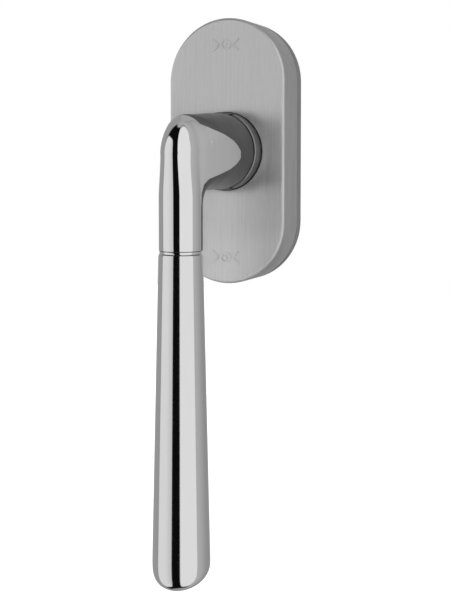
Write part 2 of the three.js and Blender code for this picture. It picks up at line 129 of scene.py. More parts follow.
class Nodes:
    """A node tree, shader or geometry, that is written from Python."""

    def __init__(self, tree):
        self.tree = tree

    def add(self, kind, settings=None, sockets=None):
        """A node of that type with its settings, then its socket values or links."""
        node = self.tree.nodes.new(kind)
        for name, value in (settings or {}).items():
            setattr(node, name, value)
        for key, value in (sockets or {}).items():
            self.put(node.inputs[key], value)
        return node

    def put(self, socket, value):
        if isinstance(value, Value):
            value = value.socket
        if isinstance(value, bpy.types.NodeSocket):
            self.tree.links.new(value, socket)
        else:
            socket.default_value = value

    def math(self, operation, *values):
        node = self.add("ShaderNodeMath", {"operation": operation}, dict(enumerate(values)))
        return Value(self, node.outputs[0])

    def ease(self, value, low, high, to_low=0.0, to_high=1.0):
        """Goes smoothly from to_low to to_high as value goes from low to high."""
        node = self.add(
            "ShaderNodeMapRange",
            {"interpolation_type": "SMOOTHSTEP"},
            {"Value": value, "From Min": low, "From Max": high, "To Min": to_low, "To Max": to_high},
        )
        return Value(self, node.outputs["Result"])

    def parts(self, vector):
        node = self.add("ShaderNodeSeparateXYZ", None, {"Vector": vector})
        return [Value(self, socket) for socket in node.outputs]

    def vector(self, x, y, z):
        return self.add("ShaderNodeCombineXYZ", None, {"X": x, "Y": y, "Z": z}).outputs["Vector"]

    def noise(self, vector, scale, detail=2.0, roughness=0.5):
        node = self.add(
            "ShaderNodeTexNoise",
            {"noise_dimensions": "3D"},
            {"Vector": vector, "Scale": scale, "Detail": detail, "Roughness": roughness},
        )
        return Value(self, node.outputs["Fac"])

    def tint(self, factor, dark, light):
        """A colour between dark and light, each a grey or an (r, g, b)."""
        node = self.add("ShaderNodeMix", {"data_type": "RGBA"}, {"Factor": factor})
        for socket, color in zip([s for s in node.inputs if s.type == "RGBA"], (dark, light)):
            socket.default_value = full_color(color)
        return next(s for s in node.outputs if s.type == "RGBA")


def full_color(color):
    if isinstance(color, (int, float)):
        color = (color, color, color)
    return (*color, 1.0)


class Finish(Nodes):
    """A material with one Principled shader."""

    def __init__(self, name, metallic, **constants):
        self.material = bpy.data.materials.new(name)
        self.material.use_nodes = True
        super().__init__(self.material.node_tree)
        self.shader = self.tree.nodes["Principled BSDF"]
        self.shader.inputs["Metallic"].default_value = metallic
        for key, value in constants.items():
            self.shader.inputs[key].default_value = value

    def place(self):
        return self.add("ShaderNodeTexCoord").outputs["Object"]

    def stretched(self, x, y, z):
        """The place on the piece, counted in cycles per metre along each axis."""
        node = self.add("ShaderNodeVectorMath", {"operation": "MULTIPLY"}, {0: self.place(), 1: (x, y, z)})
        return node.outputs["Vector"]

    def color(self, value):
        self.put(self.shader.inputs["Base Color"], value)

    def roughness(self, value):
        self.put(self.shader.inputs["Roughness"], value)

    def bump(self, height, distance, strength=1.0):
        sockets = {"Height": height, "Distance": distance, "Strength": strength}
        node = self.add("ShaderNodeBump", None, sockets)
        self.put(self.shader.inputs["Normal"], node.outputs["Normal"])


def satin_chrome(name, dark, light, spread):
    """Chrome over fine upright brushing; spread is how far it widens a reflection sideways."""
    finish = Finish(name, 1.0, Anisotropic=spread)
    hairs = finish.noise(finish.stretched(9000, 9000, 260), 1.0, 3.0, 0.6)
    strands = finish.noise(finish.stretched(2600, 2600, 60), 1.0, 2.0)
    cloud = finish.noise(finish.place(), 70.0, 2.0)
    finish.color(finish.tint(finish.ease(hairs * 0.6 + strands * 0.4, 0.35, 0.65), dark, light))
    finish.roughness(finish.ease(strands * 0.6 + cloud * 0.4, 0.2, 0.8, 0.42, 0.50))
    finish.bump(hairs + strands * 0.6, 0.00002, 0.6)
    return finish.material


def polished_chrome():
    """Bright chrome over a polished casting, with the faintest waviness and wiping marks."""
    finish = Finish("polished_chrome", 1.0)
    wave = finish.noise(finish.place(), 260.0, 2.0)
    wiped = finish.noise(finish.stretched(900, 900, 120), 1.0, 3.0)
    finish.color(finish.tint(wiped, 0.80, 0.83))
    finish.roughness(finish.ease(wiped, 0.3, 0.8, 0.03, 0.05))
    finish.bump(wave, 0.00001, 0.10)
    return finish.material


def soft_polished_chrome():
    """Chrome on the turned lower grip, polished a little less, with faint lines round it."""
    finish = Finish("soft_polished_chrome", 1.0)
    lines = finish.noise(finish.stretched(60, 60, 7000), 1.0, 2.0)
    wiped = finish.noise(finish.stretched(700, 700, 90), 1.0, 3.0)
    finish.color(finish.tint(wiped * 0.7 + lines * 0.3, 0.77, 0.82))
    finish.roughness(finish.ease(wiped, 0.25, 0.8, 0.07, 0.10))
    finish.bump(lines, 0.000003, 0.3)
    return finish.material


def satin_neck_chrome():
    """The matt part of the neck, blasted, then plated; its colour is set much darker than the cover's."""
    finish = Finish("satin_neck_chrome", 1.0)
    grain = finish.noise(finish.place(), 9000.0, 2.0, 0.6)
    cloud = finish.noise(finish.place(), 160.0, 3.0)
    finish.color(finish.tint(grain * 0.5 + cloud * 0.5, 0.15, 0.21))
    finish.roughness(finish.ease(cloud, 0.3, 0.7, 0.32, 0.40))
    finish.bump(grain, 0.000012, 0.4)
    return finish.material


def turned_collar_metal():
    """Turned and left unpolished, with fine rings round it."""
    finish = Finish("turned_collar_metal", 1.0)
    rings = finish.noise(finish.stretched(40, 5200, 40), 1.0, 2.0)
    cloud = finish.noise(finish.place(), 220.0, 2.0)
    finish.color(finish.tint(rings * 0.6 + cloud * 0.4, 0.24, 0.34))
    finish.roughness(finish.ease(cloud, 0.3, 0.7, 0.34, 0.46))
    finish.bump(rings, 0.00001, 0.5)
    return finish.material


def cast_zinc():
    """As cast: a fine grain and slow cloudiness."""
    finish = Finish("cast_zinc", 0.9)
    grain = finish.noise(finish.place(), 2600.0, 4.0, 0.65)
    cloud = finish.noise(finish.place(), 120.0, 3.0)
    finish.color(finish.tint(cloud * 0.7 + grain * 0.3, (0.36, 0.365, 0.37), (0.52, 0.525, 0.53)))
    finish.roughness(finish.ease(cloud * 0.5 + grain * 0.5, 0.3, 0.7, 0.44, 0.6))
    finish.bump(grain, 0.00004, 0.6)
    return finish.material


def plated_steel(name, dark, light, along):
    """Zinc-plated or drawn steel; along is (x, y, z) in cycles per metre, lowest along the lines."""
    finish = Finish(name, 1.0)
    lines = finish.noise(finish.stretched(*along), 1.0, 2.0)
    bloom = finish.noise(finish.place(), 420.0, 3.0)
    finish.color(finish.tint(bloom * 0.6 + lines * 0.4, dark, light))
    finish.roughness(finish.ease(bloom, 0.3, 0.7, 0.28, 0.42))
    finish.bump(lines, 0.00001, 0.4)
    return finish.material


def black_oxide():
    finish = Finish("black_oxide", 0.8)
    grain = finish.noise(finish.place(), 3000.0, 3.0)
    finish.color(finish.tint(grain, 0.03, 0.07))
    finish.roughness(finish.ease(grain, 0.3, 0.7, 0.38, 0.5))
    finish.bump(grain, 0.00001, 0.4)
    return finish.material


def black_nylon():
    finish = Finish("black_nylon", 0.0)
    grain = finish.noise(finish.place(), 4200.0, 3.0)
    cloud = finish.noise(finish.place(), 200.0, 2.0)
    finish.color(finish.tint(cloud, (0.022, 0.022, 0.024), (0.04, 0.04, 0.042)))
    finish.roughness(finish.ease(grain, 0.3, 0.7, 0.5, 0.62))
    finish.bump(grain, 0.00002, 0.5)
    return finish.material


FINISHES = {
    "satin_chrome": satin_chrome("satin_chrome", 0.9, 1.0, 0.92),
    # a darker copy of the satin chrome for the cover's side: painted shade, so the side reads darker than the
    # face
    "satin_side": satin_chrome("satin_side", 0.58, 0.68, 0.5),
    "mirror_chrome": polished_chrome(),
    "polished_grip": soft_polished_chrome(),
    "satin_neck": satin_neck_chrome(),
    "collar_metal": turned_collar_metal(),
    "zinc_casting": cast_zinc(),
    "plain_steel": plated_steel("plated_steel", (0.50, 0.505, 0.50), (0.64, 0.645, 0.65), (900, 60, 900)),
    "spring_steel": plated_steel("spring_steel", (0.33, 0.34, 0.35), (0.46, 0.47, 0.48), (900, 900, 60)),
    "black_steel": black_oxide(),
    "black_nylon": black_nylon(),
}


# Meshes ----------------------------------------------------------------------------------------------


def metres(point):
    x, depth, z = point
    return (x * MM, -depth * MM, z * MM)


def new_object(name, mesh):
    piece = bpy.data.objects.new(name, mesh)
    bpy.context.scene.collection.objects.link(piece)
    return piece


def loft(name, rings, finishes, face_finish=None, loop=False):
    """A closed skin over rings of (x, depth, z) points. Both ends are capped, or with loop the last ring
    joins the first. face_finish(ring, column) gives the index of each face's finish."""
    count = len(rings[0])
    points = [metres(point) for ring in rings for point in ring]
    faces = []
    slots = []
    for i in range(len(rings) if loop else len(rings) - 1):
        here = i * count
        there = (i + 1) % len(rings) * count
        for j in range(count):
            k = (j + 1) % count
            faces.append((here + j, here + k, there + k, there + j))
            slots.append(face_finish(i, j) if face_finish else 0)
    if not loop:
        faces.append(tuple(range(count)))
        faces.append(tuple(len(points) - 1 - j for j in range(count)))
        slots += [0, 0]
    mesh = bpy.data.meshes.new(name)
    mesh.from_pydata(points, [], faces)
    for finish in finishes:
        mesh.materials.append(FINISHES[finish])
    mesh.polygons.foreach_set("material_index", slots)
    return new_object(name, outward(mesh))


def outward(mesh):
    """Merges doubles and turns all faces of a closed mesh outwards."""
    work = bmesh.new()
    work.from_mesh(mesh)
    bmesh.ops.remove_doubles(work, verts=work.verts, dist=1e-7)
    bmesh.ops.dissolve_degenerate(work, edges=work.edges, dist=1e-8)
    bmesh.ops.recalc_face_normals(work, faces=work.faces)
    work.to_mesh(mesh)
    work.free()
    return mesh


def smooth(piece, angle=32.0):
    piece.data.shade_smooth()
    piece.data.set_sharp_from_angle(angle=math.radians(angle))


def evaluated(piece):
    """Applies the piece's modifiers and leaves a plain mesh."""
    depsgraph = bpy.context.evaluated_depsgraph_get()
    mesh = bpy.data.meshes.new_from_object(piece.evaluated_get(depsgraph))
    mesh.name = piece.name
    piece.modifiers.clear()
    piece.data = mesh
    return piece


def bevelled(piece, width, segments=2, angle=30.0):
    bevel = piece.modifiers.new("edge", "BEVEL")
    bevel.width = width * MM
    bevel.segments = segments
    bevel.limit_method = "ANGLE"
    bevel.angle_limit = math.radians(angle)
    bevel.use_clamp_overlap = True
    bevel.material = len(piece.data.materials) - 1
    evaluated(piece)
    smooth(piece)
    return piece


def cut(piece, cutters, operation="DIFFERENCE"):
    """Takes the cutters away from the piece, or joins them to it."""
    for cutter in cutters:
        step = piece.modifiers.new("cut", "BOOLEAN")
        step.operation = operation
        step.solver = "EXACT"
        step.object = cutter
    evaluated(piece)
    for cutter in cutters:
        bpy.data.objects.remove(cutter)
    return piece


def circle(radius, depth, count=96, centre=(0.0, 0.0)):
    """A ring about an axis that runs towards the room."""
    angles = [2 * math.pi * k / count for k in range(count)]
    return [(centre[0] + radius * math.cos(a), depth, centre[1] + radius * math.sin(a)) for a in angles]


def level_circle(radius, z, count=96, depth=GRIP_DEPTH):
    """A ring about an upright axis."""
    angles = [2 * math.pi * k / count for k in range(count)]
    return [(radius * math.cos(a), depth + radius * math.sin(a), z) for a in angles]


def turned(name, profile, finish, count=96, centre=(0.0, 0.0)):
    """A solid turned from (radius, depth) points."""
    return loft(name, [circle(radius, depth, count, centre) for radius, depth in profile], [finish])


def box(name, x, depth, z, finish):
    """A box between (low, high) pairs."""
    rings = []
    for d in depth:
        rings.append([(x[0], d, z[0]), (x[1], d, z[0]), (x[1], d, z[1]), (x[0], d, z[1])])
    return loft(name, rings, [finish])


def oval(inset, depth, arc_steps=40, side_steps=12):
    """The rose's outline, moved in by inset."""
    radius = ROSE_HALF_WIDTH - inset
    points = []
    for side in (1, -1):
        for k in range(arc_steps):
            angle = math.pi * k / arc_steps
            height = ROSE_ARC_HEIGHT + radius * math.sin(angle)
            points.append((side * radius * math.cos(angle), depth, side * height))
        for k in range(side_steps):
            z = side * ROSE_ARC_HEIGHT * (1 - 2 * k / side_steps)
            points.append((-side * radius, depth, z))
    return points


def oval_to_hole(share, depth, outer_inset):
    """A ring between the oval outline and the round hole; share 1 is the hole."""
    ring = []
    for x, _, z in oval(outer_inset, depth):
        angle = math.atan2(z, x)
        hole_x = HOLE_RADIUS * math.cos(angle)
        hole_z = HOLE_RADIUS * math.sin(angle)
        ring.append((x + (hole_x - x) * share, depth, z + (hole_z - z) * share))
    return ring


# Rose ------------------------------------------------------------------------------------------------


def rose_cover():
    """The clip-on cover: side, rounded edge, face, hole and the wall behind them."""
    rim = 0.15
    rings = [oval(rim, COVER_BACK), oval(0.0, COVER_BACK + rim)]
    shaded_side_rings = 6  # the side and the start of its rounding take a darker copy of the satin chrome: painted shade
    edge_steps = 10
    for k in range(edge_steps + 1):
        angle = math.pi / 2 * k / edge_steps
        inset = ROSE_EDGE * (1 - math.cos(angle))
        rings.append(oval(inset, ROSE_FRONT - ROSE_EDGE + ROSE_EDGE * math.sin(angle)))
    hole_edge = 0.2
    for share in (0.35, 0.7, 0.94):
        rings.append(oval_to_hole(share, ROSE_FRONT, ROSE_EDGE))
    rings.append(oval_to_hole(1.0, ROSE_FRONT - hole_edge, ROSE_EDGE))
    inner_face = ROSE_FRONT - COVER_WALL
    rings.append(oval_to_hole(1.0, inner_face, COVER_WALL))
    rings.append(oval_to_hole(0.5, inner_face, COVER_WALL))
    rings.append(oval(COVER_WALL, inner_face))
    rings.append(oval(COVER_WALL, COVER_BACK))

    def finish_of(ring, column):
        return 1 if ring < shaded_side_rings else 0

    cover = loft("rose_cover", rings, ["satin_chrome", "satin_side"], finish_of, loop=True)
    smooth(cover, 28.0)
    return cover


def base_casting():
    """The plate under the cover: flange, housing and bosses, with the pockets for the mechanism behind."""
    rings = [oval(0.3, 0.0), oval(0.0, 0.3), oval(0.0, FLANGE_FRONT - 0.35), oval(0.1, FLANGE_FRONT - 0.1)]
    rings += [oval(0.35, FLANGE_FRONT), oval(HOUSING_INSET, FLANGE_FRONT)]
    rings += [oval(HOUSING_INSET, HOUSING_FRONT - 0.4), oval(HOUSING_INSET + 0.4, HOUSING_FRONT)]
    plate = loft("base_casting", rings, ["zinc_casting"])
    boss_profile = [(BOSS_RADIUS - 0.4, BOSS_END), (BOSS_RADIUS, BOSS_END + 0.4), (BOSS_RADIUS, 1.0)]
    screw_heights = (SCREW_HEIGHT, -SCREW_HEIGHT)
    bosses = [turned("boss", boss_profile, "zinc_casting", 64, (0.0, z)) for z in screw_heights]
    cut(plate, bosses, "UNION")
    past_front = HOUSING_FRONT + 1.0
    screw_hole = [(2.8, -6.0), (2.8, 6.8), (5.0, 9.0), (5.0, past_front)]
    cutters = [turned("hole", screw_hole, "zinc_casting", 48, (0.0, z)) for z in screw_heights]
    cutters.append(box("plate_recess", (-12.3, 12.3), (-1.0, 2.0), (-17.9, 17.9), "zinc_casting"))
    cutters.append(turned("rotor_pocket", [(9.6, 0.5), (9.6, 7.7)], "zinc_casting"))
    cutters.append(box("ball_channel", (-2.2, 2.2), (0.4, 7.0), (-17.2, 17.2), "zinc_casting"))
    cutters.append(turned("collar_seat", [(9.0, 6.7), (9.0, past_front)], "zinc_casting"))
    for x in (-RIVET_ACROSS, RIVET_ACROSS):
        for z in (-RIVET_HEIGHT, RIVET_HEIGHT):
            cutters.append(turned("rivet_hole", [(1.4, 0.3), (1.4, 5.9)], "zinc_casting", 24, (x, z)))
    cut(plate, cutters)
    smooth(plate, 30.0)
    return plate


def neck_bush():
    """The collar round the neck's shank, with its four slots."""
    slot_half = math.degrees(0.45 / COLLAR_RADIUS)
    slot_middles = (72, 108, 252, 288)
    angles = {float(a) for a in range(0, 360, 3)}
    for middle in slot_middles:
        angles = {a for a in angles if abs(a - middle) > slot_half + 0.2}
        for edge, out in ((middle - slot_half, -0.01), (middle + slot_half, 0.01)):
            angles |= {edge, edge + out}
    angles = sorted(angles)
    in_slot = [any(abs(a - m) <= slot_half + 0.001 for m in slot_middles) for a in angles]

    def ring(radius, depth, slot_radius=None):
        points = []
        for angle, slotted in zip(angles, in_slot):
            r = slot_radius if slotted and slot_radius else radius
            points.append((r * math.cos(math.radians(angle)), depth, r * math.sin(math.radians(angle))))
        return points

    slot_floor = 8.7
    slot_back = 14.5
    edge = 0.25
    front = NECK_FOOT - 0.5
    rings = [ring(COLLAR_BORE, COLLAR_BACK), ring(COLLAR_FOOT_RADIUS, COLLAR_BACK)]
    rings += [ring(COLLAR_FOOT_RADIUS, COLLAR_SHOULDER), ring(COLLAR_RADIUS, COLLAR_SHOULDER)]
    rings += [ring(COLLAR_RADIUS, slot_back), ring(COLLAR_RADIUS, slot_back + 0.01, slot_floor)]
    rings += [ring(COLLAR_RADIUS, front - edge, slot_floor), ring(COLLAR_RADIUS - edge, front, slot_floor)]
    rings += [ring(COLLAR_BORE, front)]
    collar = loft("neck_bush", rings, ["collar_metal"], loop=True)
    smooth(collar, 30.0)
    return collar


# Elbow -----------------------------------------------------------------------------------------------

FRONT = GRIP_DEPTH + GRIP_RADIUS
PIVOT = (GRIP_DEPTH - GRIP_RADIUS - ELBOW_FILLET, -NECK_RADIUS - ELBOW_FILLET)
FLARE_START = 25.0  # depth where the neck starts to narrow
NOSE_DEPTH = 38.0  # depth of the satin top's tip
NOSE_TURN = 18.8  # turn of the section that passes through that tip
ROUND_BACK = 8.8  # the elbow's outer rounding, along the depth and down
ROUND_DOWN = 9.6

# The edge of the polished side as (depth, z): its upper edge, then its lower edge down to the joint.
UPPER_EDGE = [(0.0, -0.5), (25.2, -0.5), (27.0, 1.4), (28.5, 2.5), (31.4, 3.8), (34.6, 5.0), (37.5, 6.4)]
LOWER_EDGE = [(0.0, -1.1), (25.2, -1.1), (25.9, -2.1), (27.4, -3.3), (29.6, -4.5), (32.5, -5.5), (35.0, -6.3)]
LOWER_EDGE += [(36.9, -6.9), (38.4, -8.2), (39.1, -10.4), (39.3, -14.0), (39.3, -40.0)]


def ease(value, low, high):
    share = min(1.0, max(0.0, (value - low) / (high - low)))
    return share * share * (3 - 2 * share)


def top_line(depth):
    """Height of the neck's top, which falls a little towards the elbow."""
    return ELBOW_TOP - 0.95 * ease(depth, 18.0, NOSE_DEPTH)


def wall_width(depth):
    """Half width of the polished, upright side."""
    share = min(1.0, max(0.0, (GRIP_DEPTH - depth) / (GRIP_DEPTH - FLARE_START)))
    return GRIP_RADIUS + (NECK_RADIUS - GRIP_RADIUS) * (1 - (1 - share) ** 1.25)


def outer_distance(depth, z):
    """Distance inwards from the outer line: the neck's top, the elbow's rounding and the grip's front."""
    middle = (FRONT - ROUND_BACK, top_line(NOSE_DEPTH) - ROUND_DOWN)
    if z <= middle[1]:
        return FRONT - depth
    if depth < middle[0]:
        return top_line(depth) - z
    reach = math.hypot((depth - middle[0]) / ROUND_BACK, (z - middle[1]) / ROUND_DOWN)
    return (1 - reach) * (ROUND_BACK + ROUND_DOWN) / 2


def inner_distance(depth, z, turn):
    """Distance outwards from the inner line: the neck's underside, the fillet and the grip's back."""
    if turn <= 0:
        return z + NECK_RADIUS
    if turn >= 90:
        return depth - (GRIP_DEPTH - GRIP_RADIUS)
    return math.hypot(depth - PIVOT[0], z - PIVOT[1]) - ELBOW_FILLET


def polished_width(depth, z, turn):
    """Half width of the polished part, arched under the outer line; the arch is taller at the elbow's top."""
    arch = 5.3 + 2.4 * ease(depth, 32.0, NOSE_DEPTH) * (1 - ease(turn, 30.0, 80.0))
    left = max(0.0, 1 - outer_distance(depth, z) / arch)
    return wall_width(depth) * math.sqrt(max(0.0, 1 - min(1.0, left) ** 2))


def arc_width(distance, edge_distance, edge_width):
    """Half width of a round side that starts on the middle plane and meets the polished side's edge."""
    radius = (edge_width**2 + edge_distance**2) / (2 * edge_distance)
    return math.sqrt(max(0.0, radius**2 - (radius - distance) ** 2))


def section_ends(turn, depth, z):
    """The inner and the outer end, as (depth, z), of a section of the elbow."""
    if turn <= 0:
        return (depth, -NECK_RADIUS), (depth, top_line(depth))
    if turn >= 90:
        return (GRIP_DEPTH - GRIP_RADIUS, z), (FRONT, z)
    out = (math.sin(math.radians(turn)), math.cos(math.radians(turn)))
    low, high = ELBOW_FILLET, 60.0
    for _ in range(50):
        reach = (low + high) / 2
        inside = outer_distance(PIVOT[0] + reach * out[0], PIVOT[1] + reach * out[1]) > 0
        low, high = (reach, high) if inside else (low, reach)
    inner = (PIVOT[0] + ELBOW_FILLET * out[0], PIVOT[1] + ELBOW_FILLET * out[1])
    return inner, (PIVOT[0] + low * out[0], PIVOT[1] + low * out[1])


def crossing(line, inner, outer):
    """Share of the way from inner to outer where that section meets the line."""
    share = None
    step = (outer[0] - inner[0], outer[1] - inner[1])
    for start, end in zip(line, line[1:]):
        run = (end[0] - start[0], end[1] - start[1])
        away = (start[0] - inner[0], start[1] - inner[1])
        across = step[0] * run[1] - step[1] * run[0]
        if abs(across) < 1e-9:
            continue
        t = (away[0] * run[1] - away[1] * run[0]) / across
        u = (away[0] * step[1] - away[1] * step[0]) / across
        if -1e-6 <= u <= 1 + 1e-6 and 0 <= t <= 1:
            share = t
    return share


NOSE_SHARE = crossing(UPPER_EDGE, *section_ends(NOSE_TURN, 0.0, 0.0))
INNER_STEPS = 22
WALL_STEPS = 14
OUTER_STEPS = 26
HALF_RING = INNER_STEPS + WALL_STEPS + OUTER_STEPS


def elbow_section(turn, depth, z):
    """One ring of the elbow: up the right side from the inner end, then down the left side."""
    inner, outer = section_ends(turn, depth, z)

    def at(t):
        return inner[0] + (outer[0] - inner[0]) * t, inner[1] + (outer[1] - inner[1]) * t

    lower = crossing(LOWER_EDGE, inner, outer)
    upper = crossing(UPPER_EDGE, inner, outer) if turn <= NOSE_TURN else NOSE_SHARE
    low_point, high_point = at(lower), at(upper)
    low_edge = (inner_distance(*low_point, turn), polished_width(*low_point, turn))
    high_edge = (outer_distance(*high_point), polished_width(*high_point, turn))
    shares = [lower * (1 - math.cos(math.pi / 2 * k / INNER_STEPS)) for k in range(INNER_STEPS)]
    shares += [lower + (upper - lower) * k / WALL_STEPS for k in range(WALL_STEPS)]
    for k in range(OUTER_STEPS + 1):
        shares.append(1 - (1 - upper) * (1 - math.cos(math.pi / 2 * (1 - k / OUTER_STEPS))))
    right = []
    for index, share in enumerate(shares):
        b, h = at(share)
        if index in (0, HALF_RING):
            width = 0.0
        elif index < INNER_STEPS:
            width = arc_width(inner_distance(b, h, turn), *low_edge)
        elif index <= INNER_STEPS + WALL_STEPS or turn > NOSE_TURN:
            width = polished_width(b, h, turn)
        else:
            merge = ease(turn, NOSE_TURN - 7.0, NOSE_TURN)
            satin_width = arc_width(outer_distance(b, h), *high_edge)
            width = satin_width * (1 - merge) + polished_width(b, h, turn) * merge
        right.append((width, b, h))
    left = [(-x, b, h) for x, b, h in right[-2:0:-1]]
    return right + left


def neck_and_elbow():
    """The casting: shank, neck, elbow and upper grip, with the spindle's socket and the stud's bore."""
    foot = elbow_section(0.0, NECK_FOOT, 0.0)
    angles = [math.atan2(z, x) for x, _, z in foot]

    def around(depth, radius_at):
        return [(radius_at(a) * math.cos(a), depth, radius_at(a) * math.sin(a)) for a in angles]

    def square(a):
        return SOCKET_HALF / max(abs(math.cos(a)), abs(math.sin(a)))

    def flatted(a):
        return min(SHANK_RADIUS, SHANK_FLAT / max(1e-6, abs(math.cos(a))))

    def groove(a):
        return min(SHANK_RADIUS - 0.6, flatted(a))

    groove_back, groove_front, flats_end = 1.8, 3.1, 7.0
    rings = [around(SOCKET_FRONT, square), around(SHANK_BACK, square)]
    rings += [around(SHANK_BACK, flatted), around(groove_back, flatted)]
    rings += [around(groove_back, groove), around(groove_front, groove)]
    rings += [around(groove_front, flatted), around(flats_end, flatted)]
    rings += [around(depth, lambda a: SHANK_RADIUS) for depth in (flats_end, NECK_FOOT)]
    chamfer = 0.35
    shrink = 1 - chamfer / NECK_RADIUS
    rings.append([(x * shrink, NECK_FOOT, z * shrink) for x, _, z in foot])
    stations = [(0.0, NECK_FOOT + chamfer, 0.0)]
    stations += [(0.0, 18.5 + k, 0.0) for k in range(6)]
    stations += [(0.0, 24.4 + 0.3 * k, 0.0) for k in range(21)]
    fan = [float(k) for k in range(1, 19)] + [NOSE_TURN, NOSE_TURN + 0.05] + [float(k) for k in range(20, 90)]
    stations += [(turn, 0.0, 0.0) for turn in fan]
    rim = 0.1
    stations += [(90.0, 0.0, PIVOT[1] + (CASTING_END + rim - PIVOT[1]) * k / 7) for k in range(8)]
    first_section = len(rings)
    rings += [elbow_section(*station) for station in stations]
    last = rings[-1]
    shrink = 1 - rim / GRIP_RADIUS
    rings.append([(x * shrink, GRIP_DEPTH + (b - GRIP_DEPTH) * shrink, CASTING_END) for x, b, _ in last])
    stud_angles = [math.atan2(b - GRIP_DEPTH, x) for x, b, _ in last]
    for height in (CASTING_END, STUD_BORE_TOP):
        bore = [(STUD_BORE * math.cos(a), GRIP_DEPTH + STUD_BORE * math.sin(a), height) for a in stud_angles]
        rings.append(bore)

    def finish_of(ring, column):
        if not first_section <= ring < first_section + len(stations) - 1:
            return 0
        turn, depth, _ = stations[ring - first_section]
        from_inner = column if column < HALF_RING else 2 * HALF_RING - 1 - column
        if from_inner < INNER_STEPS or (turn == 0.0 and depth < FLARE_START + 0.3):
            return 0
        return 1 if from_inner < INNER_STEPS + WALL_STEPS or turn > NOSE_TURN else 0

    casting = loft("neck_and_elbow", rings, ["satin_neck", "mirror_chrome"], finish_of)
    grub_depth = 22.0
    grub_rings = [level_circle(2.3, z, 32, grub_depth) for z in (-12.0, -2.0)]
    grub_hole = loft("grub_hole", grub_rings, ["satin_neck"])
    cut(casting, [grub_hole])
    return bevelled(casting, 0.2, 2, 24.0)


def groove_ring():
    """The bright ring in the groove between the casting and the lower grip."""
    bottom = -24.9
    profile = [(STUD_BORE, bottom), (5.0, bottom), (5.12, -24.8), (5.16, -24.5), (5.12, -24.2)]
    profile += [(5.0, CASTING_END), (STUD_BORE, CASTING_END)]
    piece = loft("groove_ring", [level_circle(r, z) for r, z in profile], ["mirror_chrome"], loop=True)
    smooth(piece, 50.0)
    return piece


# Pieces made with Geometry Nodes ---------------------------------------------------------------------


class Builder(Nodes):
    """A Geometry Nodes tree with named sizes."""

    def __init__(self, name, **sizes):
        tree = bpy.data.node_groups.new(name, "GeometryNodeTree")
        super().__init__(tree)
        self.sizes = sizes
        tree.interface.new_socket(name="Geometry", in_out="OUTPUT", socket_type="NodeSocketGeometry")
        for key, value in sizes.items():
            kind = "NodeSocketInt" if isinstance(value, int) else "NodeSocketFloat"
            tree.interface.new_socket(name=key, in_out="INPUT", socket_type=kind)
        self.entry = self.add("NodeGroupInput")

    def __getitem__(self, key):
        return Value(self, self.entry.outputs[key])

    def shape(self, kind, sockets=None, settings=None):
        """A node's first geometry output."""
        node = self.add(kind, settings, sockets)
        return next(s for s in node.outputs if s.type == "GEOMETRY")

    def moved(self, geometry, translation=(0.0, 0.0, 0.0), rotation=(0.0, 0.0, 0.0)):
        sockets = {"Geometry": geometry, "Translation": translation, "Rotation": Euler(rotation)}
        return self.shape("GeometryNodeTransform", sockets)

    def joined(self, *geometries):
        node = self.add("GeometryNodeJoinGeometry")
        for geometry in geometries:
            self.tree.links.new(geometry, node.inputs[0])
        return node.outputs[0]

    def repeated(self, geometry, points):
        return self.shape("GeometryNodeInstanceOnPoints", {"Points": points, "Instance": geometry})

    def piece(self, name, geometry, finish):
        """Realizes the tree on a new object and leaves a plain mesh."""
        real = self.shape("GeometryNodeRealizeInstances", {"Geometry": geometry})
        painted = self.shape("GeometryNodeSetMaterial", {"Geometry": real, "Material": FINISHES[finish]})
        self.add("NodeGroupOutput", None, {"Geometry": painted})
        result = new_object(name, bpy.data.meshes.new(name))
        modifier = result.modifiers.new(name, "NODES")
        modifier.node_group = self.tree
        for item in self.tree.interface.items_tree:
            if item.in_out == "INPUT":
                modifier[item.identifier] = self.sizes[item.name]
        evaluated(result)
        outward(result.data)
        return result


UPRIGHT = (math.pi / 2, 0.0, 0.0)


